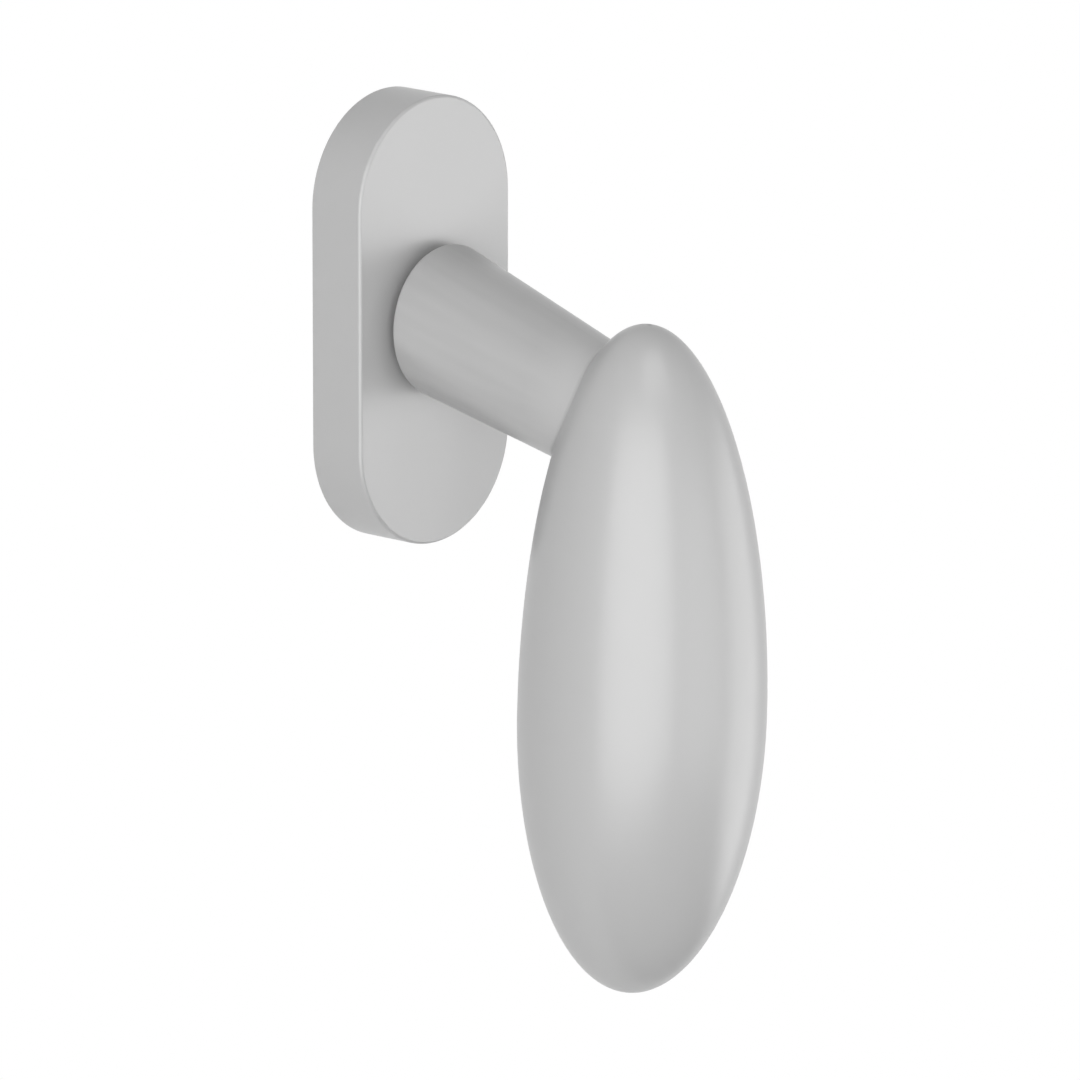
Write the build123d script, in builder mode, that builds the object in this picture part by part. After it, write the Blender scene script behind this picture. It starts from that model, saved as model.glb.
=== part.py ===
"""Window handle: an egg-shaped grip on a sloping neck, over an oblong rose.

The window frame's face is the plane Y = 0 and the room is on the -Y side. X runs to the right
along the frame, Z runs up, and the spindle's axis is the Y axis. A depth is a distance from the
window frame towards the room, so a point at depth d has Y = -d. All sizes are in millimetres.
"""

import os
from math import cos, radians, sin, sqrt, tan

from build123d import *

# Rose: the oblong cover seen from the room
rose_height = 67.0
rose_width = 31.8
cover_wall = 1.2
cover_face = 1.2
cover_edge_round = 0.5
cover_rim_gap = 0.1  # the rim stands this far off the window frame
cover_side_gap = 0.2  # between the cover's wall and the plates inside it
cover_hole_gap = 0.3  # between the cover's hole and the bush

# Plates behind the cover, and the bosses that enter the window frame
plate_thick = 1.0
flange_thick = 0.9
boss_r = 5.0
boss_length = 9.0
boss_root_step = 0.2  # the boss is thicker by this where it passes the back plate
boss_root_fit = 0.05
boss_chamfer = 0.5
hub_side_gap = 0.45
hub_wall = 1.9
hub_top_gap = 0.3
hub_web = 1.2
hub_edge_round = 0.3

# Fixing screws
screw_spacing = 43.0
screw_r = 2.5  # outside the thread
screw_shank_r = 2.25  # the rolled screw's plain shank is thinner than its thread
screw_length = 45.0
screw_thread_length = 32.0
screw_head_r = 4.6
screw_head_land = 0.15
screw_head_sink = 0.1  # the head lies this far below the flange's front
screw_hole_gap = 0.15
screw_tip_chamfer = 0.6
head_seat_gap = 0.05
recess_length = 4.6
recess_width = 0.9
recess_depth = 1.5
recess_draft = 8.0

# Rivets that hold the two plates together
rivet_spacing_x = 17.0
rivet_inset_z = 5.0  # below the screw's axis, towards the hub
rivet_r = 1.2
rivet_head_r = 1.9
rivet_fit = 0.02

# Neck: slopes down from a round foot at the rose to an upright oval end in the grip
neck_gap = 2.1  # between the cover's face and the neck's foot
neck_foot_r = 11.35
neck_rise = 0.4  # the middle of the foot stands this high above the spindle's axis
neck_foot_round = 0.35
neck_end_half_width = 8.2
neck_end_half_height = 9.5
neck_drop = 15.6
neck_reach = 39.9  # from the neck's foot to the grip's centre line
neck_sink = 1.7  # the oval end lies this far short of the grip's centre line

# Grip: two half ellipses that share the widest section, on a gently bent centre line
grip_r = 18.2
grip_rise = 5.4  # the upper tip stands this high above the spindle's axis
grip_length_up = 57.6  # from the widest section to the upper tip
grip_length_down = 42.4
grip_bend_r = 1380.0
grip_bend_start_z = -11.0
grip_steps = 14  # level circles in each half
grip_joint_round = 1.1

# Shank: the part of the handle's casting that passes through the rose
journal_r = 7.0
shank_corner_step = 0.5
drive_side = 9.8
drive_fit = 0.05
bush_fit = 0.05
bush_wall = 1.35
bush_press = 0.01
bush_flange = 0.6
bush_flange_width = 1.6
bush_front_gap = 0.15

# Spindle and the pin that holds it
spindle_side = 7.0
spindle_reach = 35.0  # behind the window frame's face
spindle_fit = 0.05
spindle_chamfer = 0.8
socket_depth = 20.5
socket_end_gap = 0.3
pin_r = 1.25
pin_wall = 0.35
pin_fit = 0.02
pin_slot = 0.6
pin_inset = 0.1

# Retaining ring on the shank's end
ring_thick = 0.8
ring_groove_depth = 0.6
ring_rise = 0.9  # above the shank's corners
ring_fit = 0.03
ring_opening = 4.5
ring_hole_gap = 0.3
ring_land = 0.25
axial_play = 0.05

# Detent: sprung balls in a rotor that drop into dimples in the back plate
rotor_gap = 0.4
rotor_thick = 4.2
rotor_side_gap = 0.3
rotor_rim = 0.8
rotor_chamfer = 0.3
ball_r = 1.25
ball_fit = 0.05
ball_ride_gap = 0.05
ball_count = 4
ball_start_angle = 45.0
dimple_depth = 0.4
dimple_fit = 0.03
pocket_roof = 0.5
spring_wire_r = 0.15
spring_coil_r = 0.9
spring_turns = 3
spring_end_gap = 0.02

# Spring washer between the rotor and the bush
washer_thick = 0.25
washer_height = 0.7
washer_bore_gap = 0.4
washer_width = 2.6

# Grip ring: an elastic ring on the hub that holds the cover by friction
band_r = 0.6
band_fit = 0.05
band_seat_gap = 0.02
band_depth = 4.6

# Depths, from the window frame towards the room
flange_front = plate_thick + flange_thick
rotor_back = plate_thick + rotor_gap
rotor_front = rotor_back + rotor_thick
ring_front = rotor_back - axial_play
ring_back = ring_front - ring_thick
shank_end = ring_back - ring_land
washer_back = rotor_front + axial_play
washer_front = washer_back + washer_height
bush_back = washer_front + axial_play
web_back = bush_back + bush_flange
hub_front = web_back + hub_web
cover_inside = hub_front + hub_top_gap
rose_front = cover_inside + cover_face
neck_foot = rose_front + neck_gap
bush_front = neck_foot - bush_front_gap
neck_end = neck_foot + neck_reach - neck_sink
grip_depth = neck_foot + neck_reach
grip_widest_z = grip_rise - grip_length_up
pin_depth = (rotor_back + rotor_front) / 2
socket_end = shank_end + socket_depth

# Radii and half widths
cover_inner_half = rose_width / 2 - cover_wall
plate_width = rose_width - 2 * (cover_wall + cover_side_gap)
plate_height = rose_height - 2 * (cover_wall + cover_side_gap)
bush_r = journal_r + bush_fit + bush_wall
cover_hole_r = bush_r + cover_hole_gap
hub_r = cover_inner_half - hub_side_gap
hub_bore_r = hub_r - hub_wall
rotor_r = hub_bore_r - rotor_side_gap
pocket_r = ball_r + ball_fit
track_r = rotor_r - rotor_rim - pocket_r
shank_corner_r = journal_r - shank_corner_step
groove_r = shank_corner_r - ring_groove_depth
ring_outer_r = shank_corner_r + ring_rise
plate_hole_r = ring_outer_r + ring_hole_gap
band_ring_r = cover_inner_half - band_fit - band_r

# Places of what repeats, as (x, z) on the window frame's face
screw_points = {"upper": (0, screw_spacing / 2), "lower": (0, -screw_spacing / 2)}
rivet_x = rivet_spacing_x / 2
rivet_z = screw_spacing / 2 - rivet_inset_z
rivet_points = {
    "upper_left": (-rivet_x, rivet_z),
    "upper_right": (rivet_x, rivet_z),
    "lower_left": (-rivet_x, -rivet_z),
    "lower_right": (rivet_x, -rivet_z),
}
ball_angles = [ball_start_angle + 360 * i / ball_count for i in range(ball_count)]
ball_points = [(track_r * cos(radians(a)), track_r * sin(radians(a))) for a in ball_angles]


def facing_room(depth, points):
    """Placements at this depth, one for each (x, z) point, that face the room."""
    plane = Plane.XZ.offset(depth).location
    return [plane * Location((x, z, 0)) for x, z in points]


def centre_depth(z):
    """Depth of the grip's centre line, an arc that bends towards the window below the neck."""
    drop = grip_bend_start_z - z
    return grip_depth - (grip_bend_r - sqrt(grip_bend_r**2 - drop**2))


def write(part, name):
    """Name a finished sub-part and write its file."""
    part.label = name
    export_step(part, f"parts/{name}.step")


os.makedirs("parts", exist_ok=True)

# Handle: one casting of grip, neck and shank
with BuildPart() as handle:
    # The grip, skinned over level circles from the widest section to each tip
    for half_length in (grip_length_up, -grip_length_down):
        for step in range(grip_steps):
            angle = radians(90 * step / grip_steps)
            level = grip_widest_z + half_length * sin(angle)
            with BuildSketch(Plane((0, -centre_depth(level), level))):
                Circle(grip_r * cos(angle))
        tip_z = grip_widest_z + half_length
        circles = list(handle.pending_faces)
        handle.pending_faces = []
        loft(sections=[*circles, Vertex(0, -centre_depth(tip_z), tip_z)])
    # The neck, between a circle and an oval that are parallel to the rose
    neck_length = neck_end - neck_foot
    with BuildSketch(Plane.XZ.offset(neck_foot)):
        with Locations((0, neck_rise)):
            Circle(neck_foot_r)
    with BuildSketch(Plane.XZ.offset(neck_end)):
        with Locations((0, neck_rise - neck_length * tan(radians(neck_drop)))):
            Ellipse(neck_end_half_width, neck_end_half_height)
    loft(ruled=True)
    fillet(handle.edges(Select.NEW), grip_joint_round)
    foot_edge = handle.edges().filter_by(GeomType.CIRCLE).sort_by(Axis.Y)[-1]
    fillet(foot_edge, neck_foot_round)
    # The round journal that turns in the bush
    with BuildSketch(Plane.XZ.offset(rotor_front)):
        Circle(journal_r)
    extrude(amount=neck_foot - rotor_front)
    # The square shank that drives the rotor, with its corners turned down
    with BuildSketch(Plane.XZ.offset(shank_end)):
        Rectangle(drive_side, drive_side)
        Circle(shank_corner_r, mode=Mode.INTERSECT)
    extrude(amount=rotor_front - shank_end)
    # The groove for the retaining ring, cut into the shank's corners
    with BuildSketch(Plane.XZ.offset(ring_back)):
        Circle(journal_r)
        Circle(groove_r, mode=Mode.SUBTRACT)
    extrude(amount=ring_thick, mode=Mode.SUBTRACT)
    # The square socket for the spindle, and the cross hole for its pin
    with BuildSketch(Plane.XZ.offset(shank_end)):
        Rectangle(spindle_side + 2 * spindle_fit, spindle_side + 2 * spindle_fit)
    extrude(amount=socket_depth, mode=Mode.SUBTRACT)
    with BuildSketch(Plane.YZ.offset(-journal_r)):
        with Locations((-pin_depth, 0)):
            Circle(pin_r + pin_fit)
    extrude(amount=2 * journal_r, mode=Mode.SUBTRACT)
write(handle.part, "handle")

# Rose cover: a straight-sided oblong cap with a round hole for the bush
with BuildPart() as rose_cover:
    with BuildSketch(Plane.XZ.offset(cover_rim_gap)):
        SlotOverall(rose_height, rose_width, rotation=90)
    extrude(amount=rose_front - cover_rim_gap)
    front_face = rose_cover.faces().sort_by(Axis.Y)[0]
    fillet(front_face.edges(), cover_edge_round)
    with BuildSketch(Plane.XZ.offset(cover_rim_gap)):
        SlotOverall(rose_height - 2 * cover_wall, rose_width - 2 * cover_wall, rotation=90)
    extrude(amount=cover_inside - cover_rim_gap, mode=Mode.SUBTRACT)
    with BuildSketch(Plane.XZ.offset(cover_inside)):
        Circle(cover_hole_r)
    extrude(amount=cover_face, mode=Mode.SUBTRACT)
write(rose_cover.part, "rose_cover")

# Base plate: a cast flange with a hollow hub for the detent and two bosses for the screws
with BuildPart() as base_plate:
    with BuildSketch(Plane.XZ.offset(plate_thick)):
        SlotOverall(plate_height, plate_width, rotation=90)
    extrude(amount=flange_thick)
    with BuildSketch(Plane.XZ.offset(plate_thick)):
        Circle(hub_r)
    extrude(amount=hub_front - plate_thick)
    hub_edge = base_plate.faces().sort_by(Axis.Y)[0].edges()
    fillet(hub_edge, hub_edge_round)
    with BuildSketch(Plane.XZ.offset(-boss_length)):
        with Locations(*screw_points.values()):
            Circle(boss_r)
    extrude(amount=boss_length)
    with BuildSketch(Plane.XZ):
        with Locations(*screw_points.values()):
            Circle(boss_r + boss_root_step)
    extrude(amount=plate_thick)
    boss_edges = base_plate.edges().filter_by(GeomType.CIRCLE).group_by(Axis.Y)[-1]
    chamfer(boss_edges, boss_chamfer)
    # The hollow for the rotor, and the bore for the bush
    with BuildSketch(Plane.XZ.offset(plate_thick)):
        Circle(hub_bore_r)
    extrude(amount=web_back - plate_thick, mode=Mode.SUBTRACT)
    with BuildSketch(Plane.XZ.offset(web_back)):
        Circle(bush_r + bush_press)
    extrude(amount=hub_web, mode=Mode.SUBTRACT)
    # The groove for the grip ring
    with BuildSketch(Plane.XZ.offset(band_depth - band_r)):
        Circle(hub_r)
        Circle(band_ring_r - band_r - band_seat_gap, mode=Mode.SUBTRACT)
    extrude(amount=2 * band_r, mode=Mode.SUBTRACT)
    # The countersunk screw holes through the bosses, and the countersunk rivet holes
    screw_hole_r = screw_r + screw_hole_gap
    screw_sink_r = screw_head_r + screw_head_sink + screw_head_land + head_seat_gap
    with Locations(*facing_room(flange_front, screw_points.values())):
        CounterSinkHole(screw_hole_r, screw_sink_r, flange_front + boss_length, 90)
    with Locations(*facing_room(flange_front, rivet_points.values())):
        CounterSinkHole(rivet_r + rivet_fit, rivet_head_r + rivet_fit, flange_thick, 90)
write(base_plate.part, "base_plate")

# Back plate: hardened sheet against the window frame, with a dimple for each quarter turn
with BuildPart() as back_plate:
    with BuildSketch(Plane.XZ):
        SlotOverall(plate_height, plate_width, rotation=90)
        Circle(plate_hole_r, mode=Mode.SUBTRACT)
        with Locations(*screw_points.values()):
            Circle(boss_r + boss_root_step + boss_root_fit, mode=Mode.SUBTRACT)
    extrude(amount=plate_thick)
    with Locations(*facing_room(plate_thick + ball_r - dimple_depth, ball_points)):
        Sphere(ball_r + dimple_fit, mode=Mode.SUBTRACT)
    with Locations(*[Location((x, 0, z), (-90, 0, 0)) for x, z in rivet_points.values()]):
        CounterSinkHole(rivet_r + rivet_fit, rivet_head_r + rivet_fit, plate_thick, 90)
write(back_plate.part, "back_plate")

# Neck bush: the flanged bearing in the hub's web, showing as a collar behind the neck
with BuildPart() as neck_bush:
    with BuildSketch(Plane.XZ.offset(bush_back)):
        Circle(bush_r + bush_flange_width)
    extrude(amount=bush_flange)
    with BuildSketch(Plane.XZ.offset(web_back)):
        Circle(bush_r)
    extrude(amount=bush_front - web_back)
    with BuildSketch(Plane.XZ.offset(bush_back)):
        Circle(journal_r + bush_fit)
    extrude(amount=bush_front - bush_back, mode=Mode.SUBTRACT)
write(neck_bush.part, "neck_bush")

# Spring washer: a coned disc that takes up the play along the shank
with BuildPart() as spring_washer:
    washer_in = journal_r + washer_bore_gap
    washer_out = washer_in + washer_width
    with BuildSketch(Plane.XY):
        with BuildLine():
            Polyline(
                (washer_in, -washer_front),
                (washer_in, -washer_front + washer_thick),
                (washer_out, -washer_back),
                (washer_out, -washer_back - washer_thick),
                close=True,
            )
        make_face()
    revolve(axis=Axis.Y)
write(spring_washer.part, "spring_washer")

# Detent rotor: turns with the shank and carries the balls and their springs
with BuildPart() as detent_rotor:
    with BuildSketch(Plane.XZ.offset(rotor_back)):
        Circle(rotor_r)
    extrude(amount=rotor_thick)
    rim_edges = detent_rotor.edges().filter_by(GeomType.CIRCLE)
    chamfer(rim_edges, rotor_chamfer)
    with BuildSketch(Plane.XZ.offset(rotor_back)):
        Rectangle(drive_side + 2 * drive_fit, drive_side + 2 * drive_fit)
    extrude(amount=rotor_thick, mode=Mode.SUBTRACT)
    with BuildSketch(Plane.XZ.offset(rotor_back)):
        with Locations(*ball_points):
            Circle(pocket_r)
    extrude(amount=rotor_thick - pocket_roof, mode=Mode.SUBTRACT)
write(detent_rotor.part, "detent_rotor")

# Detent balls and springs, one pair for each pocket
ball_depth = plate_thick + ball_ride_gap + ball_r
coil_seat = sqrt((ball_r + spring_wire_r + spring_end_gap) ** 2 - spring_coil_r**2)
coil_start = ball_depth + coil_seat
coil_end = rotor_front - pocket_roof - spring_wire_r - spring_end_gap
coil_height = coil_end - coil_start
for number, (x, z) in enumerate(ball_points, start=1):
    with BuildPart() as detent_ball:
        with Locations((x, -ball_depth, z)):
            Sphere(ball_r)
    write(detent_ball.part, f"detent_ball_{number}")

    with BuildPart() as detent_spring:
        with BuildLine() as coil:
            Helix(
                pitch=coil_height / spring_turns,
                height=coil_height,
                radius=spring_coil_r,
                center=(x, -coil_start, z),
                direction=(0, -1, 0),
            )
        with BuildSketch(Plane(origin=coil.line @ 0, z_dir=coil.line % 0)):
            Circle(spring_wire_r)
        sweep(path=coil.line, is_frenet=True)
    write(detent_spring.part, f"detent_spring_{number}")

# Retaining ring: an open ring in the shank's groove that holds the handle in the rose
with BuildPart() as retaining_ring:
    with BuildSketch(Plane.XZ.offset(ring_back)):
        Circle(ring_outer_r)
        Circle(groove_r + ring_fit, mode=Mode.SUBTRACT)
        with Locations((0, -ring_outer_r)):
            Rectangle(ring_opening, 2 * ring_outer_r, mode=Mode.SUBTRACT)
    extrude(amount=ring_thick)
write(retaining_ring.part, "retaining_ring")

# Spindle: the square bar that reaches through the window frame into its gear
with BuildPart() as spindle:
    with BuildSketch(Plane.XZ.offset(-spindle_reach)):
        Rectangle(spindle_side, spindle_side)
    extrude(amount=spindle_reach + socket_end - socket_end_gap)
    far_edges = spindle.faces().sort_by(Axis.Y)[-1].edges()
    chamfer(far_edges, spindle_chamfer)
    with BuildSketch(Plane.YZ.offset(-spindle_side)):
        with Locations((-pin_depth, 0)):
            Circle(pin_r + pin_fit)
    extrude(amount=2 * spindle_side, mode=Mode.SUBTRACT)
write(spindle.part, "spindle")

# Spindle pin: a slotted spring pin across the shank and the spindle
with BuildPart() as spindle_pin:
    pin_half = drive_side / 2 - pin_inset
    with BuildSketch(Plane.YZ.offset(-pin_half)):
        with Locations((-pin_depth, 0)):
            Circle(pin_r)
            Circle(pin_r - pin_wall, mode=Mode.SUBTRACT)
        with Locations((-pin_depth, pin_r)):
            Rectangle(pin_slot, 2 * pin_wall + pin_r, mode=Mode.SUBTRACT)
    extrude(amount=2 * pin_half)
write(spindle_pin.part, "spindle_pin")

# Fixing screws: countersunk heads with a cross recess
head_top = flange_front - screw_head_sink
cone_start = head_top - screw_head_land
cone_end = cone_start - (screw_head_r - screw_shank_r)
screw_tip = head_top - screw_length
thread_start = screw_tip + screw_thread_length
thread_rise = screw_r - screw_shank_r
for place, (x, z) in screw_points.items():
    with BuildPart() as fixing_screw:
        with BuildSketch(Plane((x, 0, z))):
            with BuildLine():
                Polyline(
                    (0, -head_top),
                    (screw_head_r, -head_top),
                    (screw_head_r, -cone_start),
                    (screw_shank_r, -cone_end),
                    (screw_shank_r, -thread_start - thread_rise),
                    (screw_r, -thread_start),
                    (screw_r, -screw_tip - screw_tip_chamfer),
                    (screw_r - screw_tip_chamfer, -screw_tip),
                    (0, -screw_tip),
                    close=True,
                )
            make_face()
        revolve(axis=Axis((x, 0, z), (0, 1, 0)))
        with BuildSketch(facing_room(head_top, [(x, z)])[0]):
            Rectangle(recess_length, recess_width)
            Rectangle(recess_width, recess_length)
        extrude(amount=-recess_depth, taper=recess_draft, mode=Mode.SUBTRACT)
    write(fixing_screw.part, f"fixing_screw_{place}")

# Plate rivets: countersunk at both ends and flush with both plates
for place, (x, z) in rivet_points.items():
    head_height = rivet_head_r - rivet_r
    with BuildPart() as plate_rivet:
        with BuildSketch(Plane((x, 0, z))):
            with BuildLine():
                Polyline(
                    (0, 0),
                    (rivet_head_r, 0),
                    (rivet_r, -head_height),
                    (rivet_r, -flange_front + head_height),
                    (rivet_head_r, -flange_front),
                    (0, -flange_front),
                    close=True,
                )
            make_face()
        revolve(axis=Axis((x, 0, z), (0, 1, 0)))
    write(plate_rivet.part, f"plate_rivet_{place}")

# Grip ring: the elastic ring in the hub's groove, bearing on the cover's straight walls
with BuildPart() as cover_grip_ring:
    with BuildSketch(Plane.XY):
        with Locations((band_ring_r, -band_depth)):
            Circle(band_r)
    revolve(axis=Axis.Y)
write(cover_grip_ring.part, "cover_grip_ring")

print(f"rose face {rose_front:.2f} mm off the frame, neck foot {neck_foot:.2f} mm")
print(f"cover lifts up to {neck_gap:.2f} mm and clears the flange at {flange_front:.2f} mm")
print(f"track radius {track_r:.2f} mm, coil height {coil_height:.2f} mm")
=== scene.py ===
"""Window handle: finishes, screw threads, lamps and camera, put round its built model."""

from math import cos, pi, radians, sin

import bmesh
import bpy
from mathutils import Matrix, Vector


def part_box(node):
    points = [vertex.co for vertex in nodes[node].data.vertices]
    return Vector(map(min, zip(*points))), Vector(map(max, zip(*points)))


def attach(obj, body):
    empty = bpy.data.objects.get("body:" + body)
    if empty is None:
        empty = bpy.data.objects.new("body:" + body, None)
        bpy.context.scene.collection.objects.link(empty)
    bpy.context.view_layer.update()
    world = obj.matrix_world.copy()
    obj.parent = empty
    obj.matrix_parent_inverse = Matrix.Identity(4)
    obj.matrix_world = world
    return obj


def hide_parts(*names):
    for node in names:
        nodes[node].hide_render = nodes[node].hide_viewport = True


bl_info = {
    "name": "Window Handle",
    "version": (1, 0, 0),
    "blender": (4, 5, 0),
    "location": "View3D > Sidebar > Window Handle",
    "description": "Dresses an egg-shaped window handle on an oblong rose, and lights it",
    "category": "Object",
}

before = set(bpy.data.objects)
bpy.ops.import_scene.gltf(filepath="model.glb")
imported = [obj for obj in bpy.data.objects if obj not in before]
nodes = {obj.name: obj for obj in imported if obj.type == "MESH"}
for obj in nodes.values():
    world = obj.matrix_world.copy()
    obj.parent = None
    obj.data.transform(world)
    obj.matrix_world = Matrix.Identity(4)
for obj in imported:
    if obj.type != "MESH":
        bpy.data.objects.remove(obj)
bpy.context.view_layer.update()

MM = 0.001


def linear(hex_code):
    """A colour written as sRGB hex, as the linear red, green and blue that Blender wants."""
    steps = [int(hex_code[i : i + 2], 16) / 255 for i in (1, 3, 5)]
    return [s / 12.92 if s <= 0.04045 else ((s + 0.055) / 1.055) ** 2.4 for s in steps]


def add_node(tree, kind, inputs=None, **settings):
    """Add a node; an input takes a value, or the socket that feeds it."""
    node = tree.nodes.new(kind)
    for key, value in settings.items():
        setattr(node, key, value)
    for key, value in (inputs or {}).items():
        if isinstance(value, bpy.types.NodeSocket):
            tree.links.new(value, node.inputs[key])
        else:
            node.inputs[key].default_value = value
    return node


class FinishColours(bpy.types.PropertyGroup):
    """Colours of the handle's finishes, and the size of the lacquer's grain."""

    satin_silver: bpy.props.FloatVectorProperty(
        name="Satin silver", description="Colour of the grip, the neck and the rose",
        subtype="COLOR", size=3, min=0, max=1, default=linear("#BABABA"),
    )
    cast_metal: bpy.props.FloatVectorProperty(
        name="Cast metal", description="Colour of the base plate's casting",
        subtype="COLOR", size=3, min=0, max=1, default=linear("#A3A6A8"),
    )
    zinc_plating: bpy.props.FloatVectorProperty(
        name="Zinc plating", description="Colour of the back plate, rivets, screws and spindle",
        subtype="COLOR", size=3, min=0, max=1, default=linear("#BEC3C8"),
    )
    spring_steel: bpy.props.FloatVectorProperty(
        name="Spring steel", description="Colour of the springs, the ring and the pin",
        subtype="COLOR", size=3, min=0, max=1, default=linear("#76787C"),
    )
    grain: bpy.props.FloatProperty(
        name="Lacquer grain", description="Width of one grain of the satin finish",
        unit="LENGTH", min=0.05 * MM, default=0.25 * MM,
    )


class ScrewSizes(bpy.types.PropertyGroup):
    """Sizes of the two countersunk fixing screws."""

    thread_radius: bpy.props.FloatProperty(
        name="Thread radius", description="Radius over the crests of the thread",
        unit="LENGTH", min=1 * MM, default=2.5 * MM,
    )
    pitch: bpy.props.FloatProperty(
        name="Pitch", description="Height of one turn of the thread",
        unit="LENGTH", min=0.3 * MM, default=0.8 * MM,
    )
    depth: bpy.props.FloatProperty(
        name="Thread depth", description="Depth of the groove between two crests",
        unit="LENGTH", min=0.1 * MM, default=0.49 * MM,
    )
    thread_length: bpy.props.FloatProperty(
        name="Thread length", description="Length of the threaded end",
        unit="LENGTH", min=5 * MM, default=32 * MM,
    )
    shank_radius: bpy.props.FloatProperty(
        name="Shank radius", description="Radius of the plain shank below the head",
        unit="LENGTH", min=1 * MM, default=2.25 * MM,
    )
    head_land: bpy.props.FloatProperty(
        name="Head land", description="Height of the head's straight rim above its cone",
        unit="LENGTH", min=0, default=0.15 * MM,
    )
    head_round: bpy.props.FloatProperty(
        name="Head round", description="Width of the rim's broken edge",
        unit="LENGTH", min=0, default=0.08 * MM,
    )
    recess_length: bpy.props.FloatProperty(
        name="Recess length", description="Length of the cross recess in the head's face",
        unit="LENGTH", min=1 * MM, default=4.6 * MM,
    )
    recess_width: bpy.props.FloatProperty(
        name="Recess width", description="Width of one arm of the cross",
        unit="LENGTH", min=0.2 * MM, default=0.9 * MM,
    )
    recess_depth: bpy.props.FloatProperty(
        name="Recess depth", description="Depth of the cross below the head's face",
        unit="LENGTH", min=0.2 * MM, default=1.5 * MM,
    )
    recess_slope: bpy.props.FloatProperty(
        name="Recess slope", description="How fast the cross narrows with its depth",
        min=0, max=0.5, default=0.14,
    )


class StudioSizes(bpy.types.PropertyGroup):
    """Where the camera stands, and how strong the lamps are."""

    camera_turn: bpy.props.FloatProperty(
        name="Camera turn", description="Angle of the camera to the right of straight on",
        subtype="ANGLE", default=radians(-46.924),
    )
    camera_height: bpy.props.FloatProperty(
        name="Camera height", description="Angle of the camera above the level",
        subtype="ANGLE", default=radians(12.838),
    )
    camera_distance: bpy.props.FloatProperty(
        name="Camera distance", description="From the camera to the middle of the picture",
        unit="LENGTH", min=0.3, default=1.9489,
    )
    camera_lens: bpy.props.FloatProperty(
        name="Lens", description="Focal length on a 36 mm wide picture",
        subtype="DISTANCE_CAMERA", min=20, default=441.4,
    )
    lamp_strength: bpy.props.FloatProperty(
        name="Lamp strength", description="Turns all the lamps up or down together",
        min=0, default=1.0,
    )


def new_finish(name):
    """An empty material, its tree, and the place on the piece in metres."""
    finish = bpy.data.materials.new(name)
    finish.use_nodes = True
    tree = finish.node_tree
    tree.nodes.clear()
    place = add_node(tree, "ShaderNodeTexCoord").outputs["Object"]
    return finish, tree, place


def noise(tree, place, width, detail=2.0, stretch=(1, 1, 1)):
    """Noise whose blots are this wide on the piece, drawn out along an axis by stretch."""
    scale = [1 / s for s in stretch]
    drawn_out = add_node(tree, "ShaderNodeMapping", {"Vector": place, "Scale": scale})
    inputs = {"Vector": drawn_out.outputs["Vector"], "Scale": 1 / width, "Detail": detail}
    return add_node(tree, "ShaderNodeTexNoise", inputs).outputs["Fac"]


def spread(tree, value, low, high):
    """A noise value turned into a range, low where the noise is dark."""
    # Nearly all of the noise lies between these two
    dark, pale = 0.3, 0.7
    inputs = {"Value": value, "From Min": dark, "From Max": pale, "To Min": low, "To Max": high}
    return add_node(tree, "ShaderNodeMapRange", inputs).outputs["Result"]


def shade(tree, value, colour, depth):
    """The colour, darkened by up to depth where the value is low."""
    dark = [c * (1 - depth) for c in colour]
    # The mix node's colour sockets are its 7th and 8th inputs and its 3rd output
    inputs = {0: value, 6: [*dark, 1], 7: [*colour, 1]}
    return add_node(tree, "ShaderNodeMix", inputs, data_type="RGBA").outputs[2]


def bump(tree, height, depth, strength):
    """A normal for a surface that stands up by the depth where the height is 1."""
    inputs = {"Height": height, "Distance": depth, "Strength": strength}
    return add_node(tree, "ShaderNodeBump", inputs).outputs["Normal"]


def finish_with(tree, **inputs):
    """The surface's shader and the tree's end; Base_Color stands for Base Color."""
    named = {key.replace("_", " "): value for key, value in inputs.items()}
    shader = add_node(tree, "ShaderNodeBsdfPrincipled", named)
    add_node(tree, "ShaderNodeOutputMaterial", {"Surface": shader.outputs["BSDF"]})


def neck_shade_streaks(tree, place):
    """Painted shade in streaks along the sloping neck, standing in for reflected bands and the
    neck's darker tone, fading out before the grip.
    """
    neck_slope = (radians(-15.6), 0, 0)
    sloped = add_node(tree, "ShaderNodeMapping", {"Vector": place, "Rotation": neck_slope})
    lines = noise(tree, sloped.outputs["Vector"], 2 * MM, detail=1.0, stretch=(1, 40, 1))
    depth = add_node(tree, "ShaderNodeSeparateXYZ", {"Vector": place}).outputs["Y"]
    neck_end, grip_start = -36 * MM, -42 * MM
    grip = add_node(
        tree, "ShaderNodeMapRange", {"Value": depth, "From Min": neck_end, "From Max": grip_start}
    ).outputs["Result"]
    # The mix node's number sockets are its 3rd and 4th inputs and its 1st output
    return add_node(tree, "ShaderNodeMix", {0: grip, 2: lines, 3: 1.0}, data_type="FLOAT").outputs[0]


def satin_silver(sizes, neck_shade_depth=None):
    """Silver lacquer on a casting: an even grey body under a soft, wide sheen, except that a neck
    shade depth paints shade in streaks on the neck.
    """
    finish, tree, place = new_finish("satin_silver_lacquer")
    colour = [*sizes.satin_silver, 1]
    # Painted shade: the neck's colour is darkened in streaks that stand in for reflected bands
    if neck_shade_depth:
        colour = shade(tree, neck_shade_streaks(tree, place), sizes.satin_silver, neck_shade_depth)
    # The metal flakes' grain, drawn somewhat coarser than the real one so that it shows at all
    grain = noise(tree, place, sizes.grain, detail=3.0)
    finish_with(
        tree, Base_Color=colour, Metallic=0.05,
        Roughness=spread(tree, noise(tree, place, 6 * MM), 0.31, 0.33),
        Normal=bump(tree, grain, 0.0013 * MM, 0.4),
    )
    return finish


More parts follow.
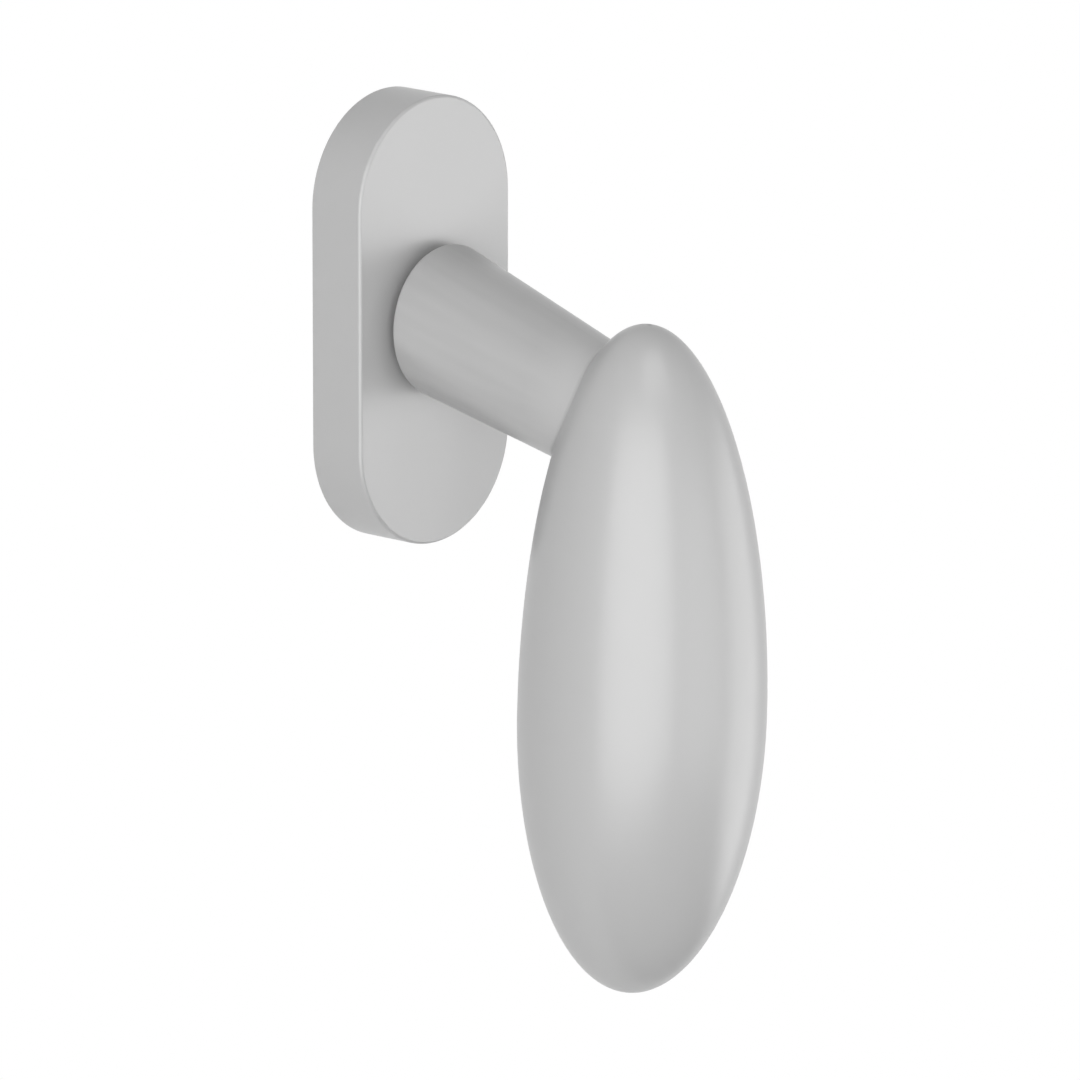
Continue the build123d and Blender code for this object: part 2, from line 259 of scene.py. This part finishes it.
def cast_metal(sizes):
    """Die-cast alloy as it leaves the mould: matt, with a slightly cloudy skin."""
    finish, tree, place = new_finish("die_cast_alloy")
    skin = noise(tree, place, 0.6 * MM, detail=5.0)
    clouds = spread(tree, noise(tree, place, 5 * MM), 0, 1)
    finish_with(
        tree, Base_Color=shade(tree, clouds, sizes.cast_metal, 0.14), Metallic=1.0,
        Roughness=spread(tree, skin, 0.42, 0.58), Normal=bump(tree, skin, 0.05 * MM, 0.5),
    )
    return finish


def zinc_plating(sizes):
    """Steel with bright zinc: bluish, with fine rolling lines and faint clouds."""
    finish, tree, place = new_finish("zinc_plated_steel")
    lines = noise(tree, place, 0.2 * MM, stretch=(1, 1, 30))
    clouds = spread(tree, noise(tree, place, 4 * MM, detail=4.0), 0, 1)
    finish_with(
        tree, Base_Color=shade(tree, clouds, sizes.zinc_plating, 0.12), Metallic=1.0,
        Roughness=spread(tree, lines, 0.26, 0.40), Normal=bump(tree, lines, 0.01 * MM, 0.4),
    )
    return finish


def drawn_steel(sizes):
    """Zinc-plated bar stock: the lines of the drawing die run along the spindle."""
    finish, tree, place = new_finish("zinc_plated_drawn_bar")
    lines = noise(tree, place, 0.2 * MM, detail=3.0, stretch=(1, 60, 1))
    clouds = spread(tree, noise(tree, place, 6 * MM, detail=4.0), 0, 1)
    finish_with(
        tree, Base_Color=shade(tree, clouds, sizes.zinc_plating, 0.15), Metallic=1.0,
        Roughness=spread(tree, lines, 0.28, 0.42), Normal=bump(tree, lines, 0.02 * MM, 0.5),
    )
    return finish


def spring_steel(sizes):
    """Hardened spring steel: dark grey with a thin oil film."""
    finish, tree, place = new_finish("hardened_spring_steel")
    film = spread(tree, noise(tree, place, 1.5 * MM, detail=3.0), 0, 1)
    finish_with(
        tree, Base_Color=shade(tree, film, sizes.spring_steel, 0.25), Metallic=1.0,
        Roughness=spread(tree, film, 0.24, 0.36),
    )
    return finish


def polished_steel():
    """Bearing balls: ground and lapped, with hairline marks."""
    finish, tree, place = new_finish("lapped_bearing_steel")
    hairs = noise(tree, place, 0.1 * MM, detail=4.0)
    finish_with(
        tree, Base_Color=shade(tree, hairs, linear("#DCDCDE"), 0.05), Metallic=1.0,
        Roughness=spread(tree, hairs, 0.06, 0.12),
    )
    return finish


def moulded_plastic(name, hex_code, smoothest, roughest):
    """Moulded nylon: faint flow clouds under the fine matt skin of a spark-eroded mould."""
    finish, tree, place = new_finish(name)
    skin = noise(tree, place, 0.3 * MM, detail=3.0)
    flow = spread(tree, noise(tree, place, 3 * MM), 0, 1)
    finish_with(
        tree, Base_Color=shade(tree, flow, linear(hex_code), 0.12),
        Roughness=spread(tree, skin, smoothest, roughest),
        Normal=bump(tree, skin, 0.02 * MM, 0.4),
    )
    return finish


def moulded_rubber():
    """Moulded rubber: matt, with a grey bloom where it has been handled."""
    finish, tree, place = new_finish("moulded_rubber")
    bloom = spread(tree, noise(tree, place, 2 * MM, detail=5.0), 0, 1)
    finish_with(
        tree, Base_Color=shade(tree, bloom, linear("#2B2B2D"), 0.4),
        Roughness=spread(tree, bloom, 0.62, 0.8), Normal=bump(tree, bloom, 0.02 * MM, 0.3),
    )
    return finish


def dress(finish, names):
    """Give built pieces their finish; their shapes stay as built."""
    for name in names:
        mesh = nodes[name].data
        mesh.materials.clear()
        mesh.materials.append(finish)


class WINDOWHANDLE_OT_handle(bpy.types.Operator):
    """Finish the casting of grip, neck and shank in satin silver lacquer, with painted shade in
    streaks on the neck
    """

    bl_idname = "window_handle.handle"
    bl_label = "Handle"

    def execute(self, context):
        dress(satin_silver(context.scene.handle_finish, neck_shade_depth=0.13), ["handle"])
        return {"FINISHED"}


class WINDOWHANDLE_OT_rose(bpy.types.Operator):
    """Finish the oblong rose cover in the same satin silver"""

    bl_idname = "window_handle.rose"
    bl_label = "Rose cover"

    def execute(self, context):
        dress(satin_silver(context.scene.handle_finish), ["rose_cover"])
        return {"FINISHED"}


class WINDOWHANDLE_OT_base(bpy.types.Operator):
    """Finish the cast base plate, the sheet behind it and their rivets"""

    bl_idname = "window_handle.base"
    bl_label = "Base plate and back plate"

    def execute(self, context):
        sizes = context.scene.handle_finish
        dress(cast_metal(sizes), ["base_plate"])
        rivets = [name for name in nodes if name.startswith("plate_rivet")]
        dress(zinc_plating(sizes), ["back_plate", *rivets])
        return {"FINISHED"}


class WINDOWHANDLE_OT_bearing(bpy.types.Operator):
    """Finish the neck's bush and the elastic ring that holds the cover"""

    bl_idname = "window_handle.bearing"
    bl_label = "Bush and grip ring"

    def execute(self, context):
        dress(moulded_plastic("black_moulded_nylon", "#1D1D1F", 0.38, 0.5), ["neck_bush"])
        dress(moulded_rubber(), ["cover_grip_ring"])
        return {"FINISHED"}


class WINDOWHANDLE_OT_detent(bpy.types.Operator):
    """Finish the rotor, the balls, their springs and the spring washer"""

    bl_idname = "window_handle.detent"
    bl_label = "Detent"

    def execute(self, context):
        steel = spring_steel(context.scene.handle_finish)
        springs = [name for name in nodes if name.startswith("detent_spring")]
        balls = [name for name in nodes if name.startswith("detent_ball")]
        dress(moulded_plastic("white_moulded_nylon", "#DDDBD3", 0.34, 0.46), ["detent_rotor"])
        dress(steel, ["spring_washer", *springs])
        dress(polished_steel(), balls)
        return {"FINISHED"}


class WINDOWHANDLE_OT_spindle(bpy.types.Operator):
    """Finish the square spindle, its pin and the retaining ring"""

    bl_idname = "window_handle.spindle"
    bl_label = "Spindle"

    def execute(self, context):
        sizes = context.scene.handle_finish
        dress(drawn_steel(sizes), ["spindle"])
        dress(spring_steel(sizes), ["spindle_pin", "retaining_ring"])
        return {"FINISHED"}


def turned_shape(name, profile, steps):
    """A closed shape turned round the Y axis from (radius, y) corners that end on the axis."""
    made = bmesh.new()
    corners = [made.verts.new((radius, y, 0)) for radius, y in profile]
    edges = [made.edges.new(pair) for pair in zip(corners, corners[1:])]
    bmesh.ops.spin(
        made, geom=[*corners, *edges], axis=(0, 1, 0), cent=(0, 0, 0),
        angle=2 * pi, steps=steps, use_merge=True,
    )
    bmesh.ops.remove_doubles(made, verts=made.verts, dist=0.001 * MM)
    bmesh.ops.recalc_face_normals(made, faces=made.faces)
    return as_object(name, made)


def as_object(name, made):
    """Turn a finished bmesh into an object at the origin."""
    mesh = bpy.data.meshes.new(name)
    made.to_mesh(mesh)
    made.free()
    piece = bpy.data.objects.new(name, mesh)
    bpy.context.scene.collection.objects.link(piece)
    return piece


def cross_recess(name, top, sizes):
    """The tapered cross that a driver cuts into, from the head's face inwards."""
    made = bmesh.new()
    rings = []
    # The cutter stands as far out of the face as it reaches below it, and narrows all the way
    shrink = sizes.recess_depth * sizes.recess_slope
    for y, less in ((top - sizes.recess_depth, -shrink), (top + sizes.recess_depth, shrink)):
        far, near = sizes.recess_length / 2 - less, sizes.recess_width / 2 - less
        outline = [(far, near), (near, near), (near, far)]
        # The other three quarters of the cross, each turned on from the one before
        for _ in range(3):
            outline += [(-z, x) for x, z in outline[-3:]]
        rings.append([made.verts.new((x, y, z)) for x, z in outline])
    outer, inner = rings
    made.faces.new(outer)
    made.faces.new(inner)
    for i in range(len(outer)):
        made.faces.new((outer[i - 1], outer[i], inner[i], inner[i - 1]))
    bmesh.ops.recalc_face_normals(made, faces=made.faces)
    return as_object(name, made)


def plain_mesh(piece):
    """Apply a piece's modifiers: its final shape as a plain mesh, with none left on it."""
    graph = bpy.context.evaluated_depsgraph_get()
    mesh = bpy.data.meshes.new_from_object(piece.evaluated_get(graph))
    piece.modifiers.clear()
    piece.data = mesh
    return piece


def math_node(tree, operation, *values):
    """One sum, product or other step of arithmetic on fields."""
    return add_node(
        tree, "ShaderNodeMath", dict(enumerate(values)), operation=operation
    ).outputs[0]


def screw_tree():
    """Nodes that thread a shank, join it to its head, and set one screw at each hole."""
    tree = bpy.data.node_groups.new("fixing_screws", "GeometryNodeTree")
    sockets = tree.interface
    sockets.new_socket("Head and shank", in_out="INPUT", socket_type="NodeSocketGeometry")
    for name in ("Radius", "Pitch", "Depth", "Length", "Start", "Spacing"):
        sockets.new_socket(name, in_out="INPUT", socket_type="NodeSocketFloat")
    sockets.new_socket("Finish", in_out="INPUT", socket_type="NodeSocketMaterial")
    sockets.new_socket("Screws", in_out="OUTPUT", socket_type="NodeSocketGeometry")
    given = add_node(tree, "NodeGroupInput").outputs

    # Enough rings of points for crest, flank and root
    rings_to_a_turn = 12
    turns = math_node(tree, "DIVIDE", given["Length"], given["Pitch"])
    rings = math_node(tree, "MULTIPLY", turns, rings_to_a_turn)
    rod = add_node(
        tree, "GeometryNodeMeshCylinder",
        {"Vertices": 48, "Side Segments": rings, "Radius": given["Radius"],
         "Depth": given["Length"]},
    ).outputs["Mesh"]
    place = add_node(tree, "GeometryNodeInputPosition").outputs["Position"]
    axes = add_node(tree, "ShaderNodeSeparateXYZ", {"Vector": place}).outputs
    half = math_node(tree, "MULTIPLY", given["Length"], 0.5)
    along = math_node(tree, "ADD", axes["Z"], half)
    turn = math_node(tree, "DIVIDE", math_node(tree, "ARCTAN2", axes["Y"], axes["X"]), 2 * pi)
    # The helix as a wave along the screw: 0 in the middle of a root, 1 on a crest's middle
    helix = math_node(
        tree, "SUBTRACT", math_node(tree, "DIVIDE", along, given["Pitch"]), turn
    )
    wave = math_node(tree, "MULTIPLY", math_node(tree, "PINGPONG", helix, 0.5), 2)
    # A metric thread has a flat root a quarter of the pitch wide, and a flat crest an eighth
    root_end, crest_start = 1 / 4, 1 - 1 / 8
    flank = add_node(
        tree, "ShaderNodeMapRange",
        {"Value": wave, "From Min": root_end, "From Max": crest_start, "To Min": 1, "To Max": 0},
    ).outputs["Result"]
    groove = math_node(tree, "MULTIPLY", flank, given["Depth"])
    radius = math_node(tree, "SUBTRACT", given["Radius"], groove)
    # Both ends of the thread are turned down at 45 degrees to the root
    root = math_node(tree, "SUBTRACT", given["Radius"], given["Depth"])
    to_tip = math_node(tree, "SUBTRACT", half, axes["Z"])
    radius = math_node(tree, "MINIMUM", radius, math_node(tree, "ADD", root, to_tip))
    to_start = math_node(tree, "ADD", root, along)
    radius = math_node(tree, "MINIMUM", radius, to_start)
    share = math_node(tree, "DIVIDE", radius, given["Radius"])
    moved = add_node(
        tree, "ShaderNodeCombineXYZ",
        {"X": math_node(tree, "MULTIPLY", axes["X"], share),
         "Y": math_node(tree, "MULTIPLY", axes["Y"], share), "Z": axes["Z"]},
    ).outputs["Vector"]
    rod = add_node(
        tree, "GeometryNodeSetPosition", {"Geometry": rod, "Position": moved}
    ).outputs["Geometry"]
    middle = add_node(
        tree, "ShaderNodeCombineXYZ", {"Y": math_node(tree, "ADD", given["Start"], half)}
    ).outputs["Vector"]
    rod = add_node(
        tree, "GeometryNodeTransform",
        {"Geometry": rod, "Translation": middle, "Rotation": (-pi / 2, 0, 0)},
    ).outputs["Geometry"]

    whole = add_node(tree, "GeometryNodeJoinGeometry")
    for part in (given["Head and shank"], rod):
        tree.links.new(part, whole.inputs["Geometry"])
    low = math_node(tree, "MULTIPLY", given["Spacing"], -0.5)
    holes = add_node(
        tree, "GeometryNodeMeshLine",
        {"Count": 2,
         "Start Location": add_node(
             tree, "ShaderNodeCombineXYZ", {"Z": low}).outputs["Vector"],
         "Offset": add_node(
             tree, "ShaderNodeCombineXYZ", {"Z": given["Spacing"]}).outputs["Vector"]},
    ).outputs["Mesh"]
    screws = add_node(
        tree, "GeometryNodeInstanceOnPoints",
        {"Points": holes, "Instance": whole.outputs["Geometry"]},
    ).outputs["Instances"]
    screws = add_node(
        tree, "GeometryNodeRealizeInstances", {"Geometry": screws}
    ).outputs["Geometry"]
    bend = add_node(tree, "GeometryNodeInputMeshEdgeAngle").outputs["Unsigned Angle"]
    widest_smooth_bend = radians(40)
    sharp = add_node(
        tree, "FunctionNodeCompare", {"A": bend, "B": widest_smooth_bend},
        operation="GREATER_THAN",
    ).outputs["Result"]
    screws = add_node(
        tree, "GeometryNodeSetShadeSmooth",
        {"Geometry": screws, "Selection": sharp, "Shade Smooth": False}, domain="EDGE",
    ).outputs["Geometry"]
    screws = add_node(
        tree, "GeometryNodeSetMaterial", {"Geometry": screws, "Material": given["Finish"]}
    ).outputs["Geometry"]
    add_node(tree, "NodeGroupOutput", {"Screws": screws})
    return tree


class WINDOWHANDLE_OT_screws(bpy.types.Operator):
    """Cut the cross recess and the thread of the two fixing screws, and plate them"""

    bl_idname = "window_handle.screws"
    bl_label = "Fixing screws"

    def execute(self, context):
        sizes = context.scene.handle_screws
        low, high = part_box("fixing_screw_upper")
        # The upper screw's middle stands half the spacing above the spindle
        spacing = low.z + high.z
        head = (high.x - low.x) / 2
        top, tip = low.y, high.y
        start = tip - sizes.thread_length
        # The head's cone slopes at 45 degrees
        cone_end = top + sizes.head_land + head - sizes.shank_radius
        profile = [
            (0, top), (head - sizes.head_round, top), (head, top + sizes.head_round),
            (head, top + sizes.head_land), (sizes.shank_radius, cone_end),
            (sizes.shank_radius, start), (0, start),
        ]
        piece = turned_shape("fixing_screws", profile, steps=64)
        cutter = cross_recess("cross_recess", top, sizes)
        cut = piece.modifiers.new("recess", "BOOLEAN")
        cut.operation, cut.solver, cut.object = "DIFFERENCE", "EXACT", cutter
        plain_mesh(piece)
        bpy.data.objects.remove(cutter)
        piece.data.shade_smooth()

        tree = screw_tree()
        screws = piece.modifiers.new("screws", "NODES")
        screws.node_group = tree
        values = {
            "Radius": sizes.thread_radius, "Pitch": sizes.pitch, "Depth": sizes.depth,
            "Length": sizes.thread_length, "Start": start, "Spacing": spacing,
            "Finish": zinc_plating(context.scene.handle_finish),
        }
        for socket in tree.interface.items_tree:
            if socket.name in values:
                screws[socket.identifier] = values[socket.name]
        plain_mesh(piece)
        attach(piece, "rose_base")
        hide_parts("fixing_screw_upper", "fixing_screw_lower")
        return {"FINISHED"}


def seen_white(tree, shader):
    """The shader for the light that falls on the object; the camera and reflections see white."""
    path = add_node(tree, "ShaderNodeLightPath").outputs
    white = add_node(tree, "ShaderNodeEmission", {"Color": (1, 1, 1, 1), "Strength": 1.0})
    seen = add_node(
        tree, "ShaderNodeMath",
        {0: path["Is Camera Ray"], 1: path["Is Glossy Ray"]}, operation="MAXIMUM",
    )
    seen = add_node(
        tree, "ShaderNodeMath",
        {0: seen.outputs[0], 1: path["Is Transmission Ray"]}, operation="MAXIMUM",
    )
    return add_node(
        tree, "ShaderNodeMixShader",
        {0: seen.outputs[0], 1: shader, 2: white.outputs["Emission"]},
    ).outputs["Shader"]


def one_sided(tree, shader):
    """The shader on the front only, with nothing to see or shade from behind."""
    behind = add_node(tree, "ShaderNodeNewGeometry").outputs["Backfacing"]
    clear = add_node(tree, "ShaderNodeBsdfTransparent").outputs["BSDF"]
    mixed = add_node(tree, "ShaderNodeMixShader", {0: behind, 1: shader, 2: clear})
    add_node(tree, "ShaderNodeOutputMaterial", {"Surface": mixed.outputs["Shader"]})


def board(name, corners, finish):
    """A flat board of the stage; its front is where its corners run anticlockwise."""
    mesh = bpy.data.meshes.new(name)
    mesh.from_pydata(corners, [], [range(len(corners))])
    mesh.materials.append(finish)
    piece = bpy.data.objects.new(name, mesh)
    bpy.context.scene.collection.objects.link(piece)
    return piece


def seen_from(aim, turn, height, distance):
    """A place at this distance from the aim, and the rotation that points from there to it."""
    away = Vector((sin(turn) * cos(height), -cos(turn) * cos(height), sin(height)))
    return aim + away * distance, (-away).to_track_quat("-Z", "Y").to_euler()


def softbox(name, aim, turn, height, width, tall, power):
    """A softbox, turned to the right of straight on and raised above the level, in degrees."""
    distance = 1.2
    lamp = bpy.data.lights.new(name, "AREA")
    lamp.shape = "RECTANGLE"
    lamp.size = width
    lamp.size_y = tall
    lamp.energy = power
    piece = bpy.data.objects.new(name, lamp)
    bpy.context.scene.collection.objects.link(piece)
    piece.location, piece.rotation_euler = seen_from(
        aim, radians(turn), radians(height), distance
    )


class WINDOWHANDLE_OT_stage(bpy.types.Operator):
    """Set the window frame's plane, the floor, the lamps and the camera"""

    bl_idname = "window_handle.stage"
    bl_label = "Stage"

    def execute(self, context):
        studio = context.scene.handle_studio
        paper, tree, _ = new_finish("pale_backdrop")
        matt = add_node(tree, "ShaderNodeBsdfDiffuse", {"Color": [*linear("#C4C4C4"), 1]})
        one_sided(tree, seen_white(tree, matt.outputs["BSDF"]))
        # The wall's half width, foot and top, and how far it stands behind the frame's face
        half, low, high, back = 0.45, -0.42, 0.42, 0.05 * MM
        wall = board(
            "backdrop",
            [(-half, back, low), (half, back, low), (half, back, high), (-half, back, high)],
            paper,
        )
        # The wall throws light back and isn't seen itself. A small card in its plane hides the
        # spindle and the screws from the photo's side; views far to the left see past its edge
        wall.visible_camera = False
        left, right, foot, top = -60 * MM, 15 * MM, -45 * MM, 45 * MM
        board(
            "wall_card",
            [(left, back, foot), (right, back, foot), (right, back, top), (left, back, top)],
            paper,
        )
        floor, tree, _ = new_finish("pale_floor")
        matt = add_node(tree, "ShaderNodeBsdfDiffuse", {"Color": [*linear("#BCBCBC"), 1]})
        one_sided(tree, matt.outputs["BSDF"])
        board(
            "floor",
            [(-half, back - 2 * half, low), (half, back - 2 * half, low),
             (half, back, low), (-half, back, low)],
            floor,
        )
        # The middle of the picture
        aim = Vector((9.87 * MM, -21.52 * MM, -32.86 * MM))
        power = studio.lamp_strength
        softbox("left_softbox", aim, turn=-53, height=2, width=1.5, tall=1.4, power=15.6 * power)
        softbox("front_softbox", aim, turn=10, height=-8, width=0.8, tall=1.0, power=2.6 * power)
        softbox("right_softbox", aim, turn=60, height=-14, width=0.9, tall=1.0, power=5.6 * power)
        softbox("top_softbox", aim, turn=-20, height=58, width=0.8, tall=0.6, power=2.4 * power)

        # Light from all round, beside what the softboxes give
        fill = 0.09
        world = bpy.data.worlds.new("studio")
        world.use_nodes = True
        tree = world.node_tree
        tree.nodes.clear()
        light = add_node(
            tree, "ShaderNodeBackground", {"Color": (1, 1, 1, 1), "Strength": fill}
        ).outputs["Background"]
        add_node(tree, "ShaderNodeOutputWorld", {"Surface": seen_white(tree, light)})
        context.scene.world = world

        camera = bpy.data.cameras.new("camera")
        camera.lens = studio.camera_lens
        camera.clip_end = 20
        eye = bpy.data.objects.new("camera", camera)
        context.scene.collection.objects.link(eye)
        eye.location, eye.rotation_euler = seen_from(
            aim, studio.camera_turn, studio.camera_height, studio.camera_distance
        )
        context.scene.camera = eye
        context.scene.view_settings.view_transform = "Standard"
        return {"FINISHED"}


class WINDOWHANDLE_PT_sidebar(bpy.types.Panel):
    """The handle's colours, sizes and steps"""

    bl_idname = "WINDOWHANDLE_PT_sidebar"
    bl_label = "Window Handle"
    bl_space_type = "VIEW_3D"
    bl_region_type = "UI"
    bl_category = "Window Handle"

    def draw(self, context):
        for settings in ("handle_finish", "handle_screws", "handle_studio"):
            box = self.layout.box()
            group = getattr(context.scene, settings)
            for name in group.__annotations__:
                box.prop(group, name)
        for step in STEPS:
            self.layout.operator(step.bl_idname)


GROUPS = {
    "handle_finish": FinishColours,
    "handle_screws": ScrewSizes,
    "handle_studio": StudioSizes,
}
STEPS = (
    WINDOWHANDLE_OT_handle,
    WINDOWHANDLE_OT_rose,
    WINDOWHANDLE_OT_base,
    WINDOWHANDLE_OT_bearing,
    WINDOWHANDLE_OT_detent,
    WINDOWHANDLE_OT_spindle,
    WINDOWHANDLE_OT_screws,
    WINDOWHANDLE_OT_stage,
)


def register():
    for made in (*GROUPS.values(), *STEPS, WINDOWHANDLE_PT_sidebar):
        bpy.utils.register_class(made)
    for name, group in GROUPS.items():
        setattr(bpy.types.Scene, name, bpy.props.PointerProperty(type=group))


def unregister():
    for name in GROUPS:
        delattr(bpy.types.Scene, name)
    for made in (WINDOWHANDLE_PT_sidebar, *reversed(STEPS), *GROUPS.values()):
        bpy.utils.unregister_class(made)


def main():
    """Run every step."""
    register()
    for step in STEPS:
        group, name = step.bl_idname.split(".")
        getattr(getattr(bpy.ops, group), name)()


if __name__ == "__main__":
    main()
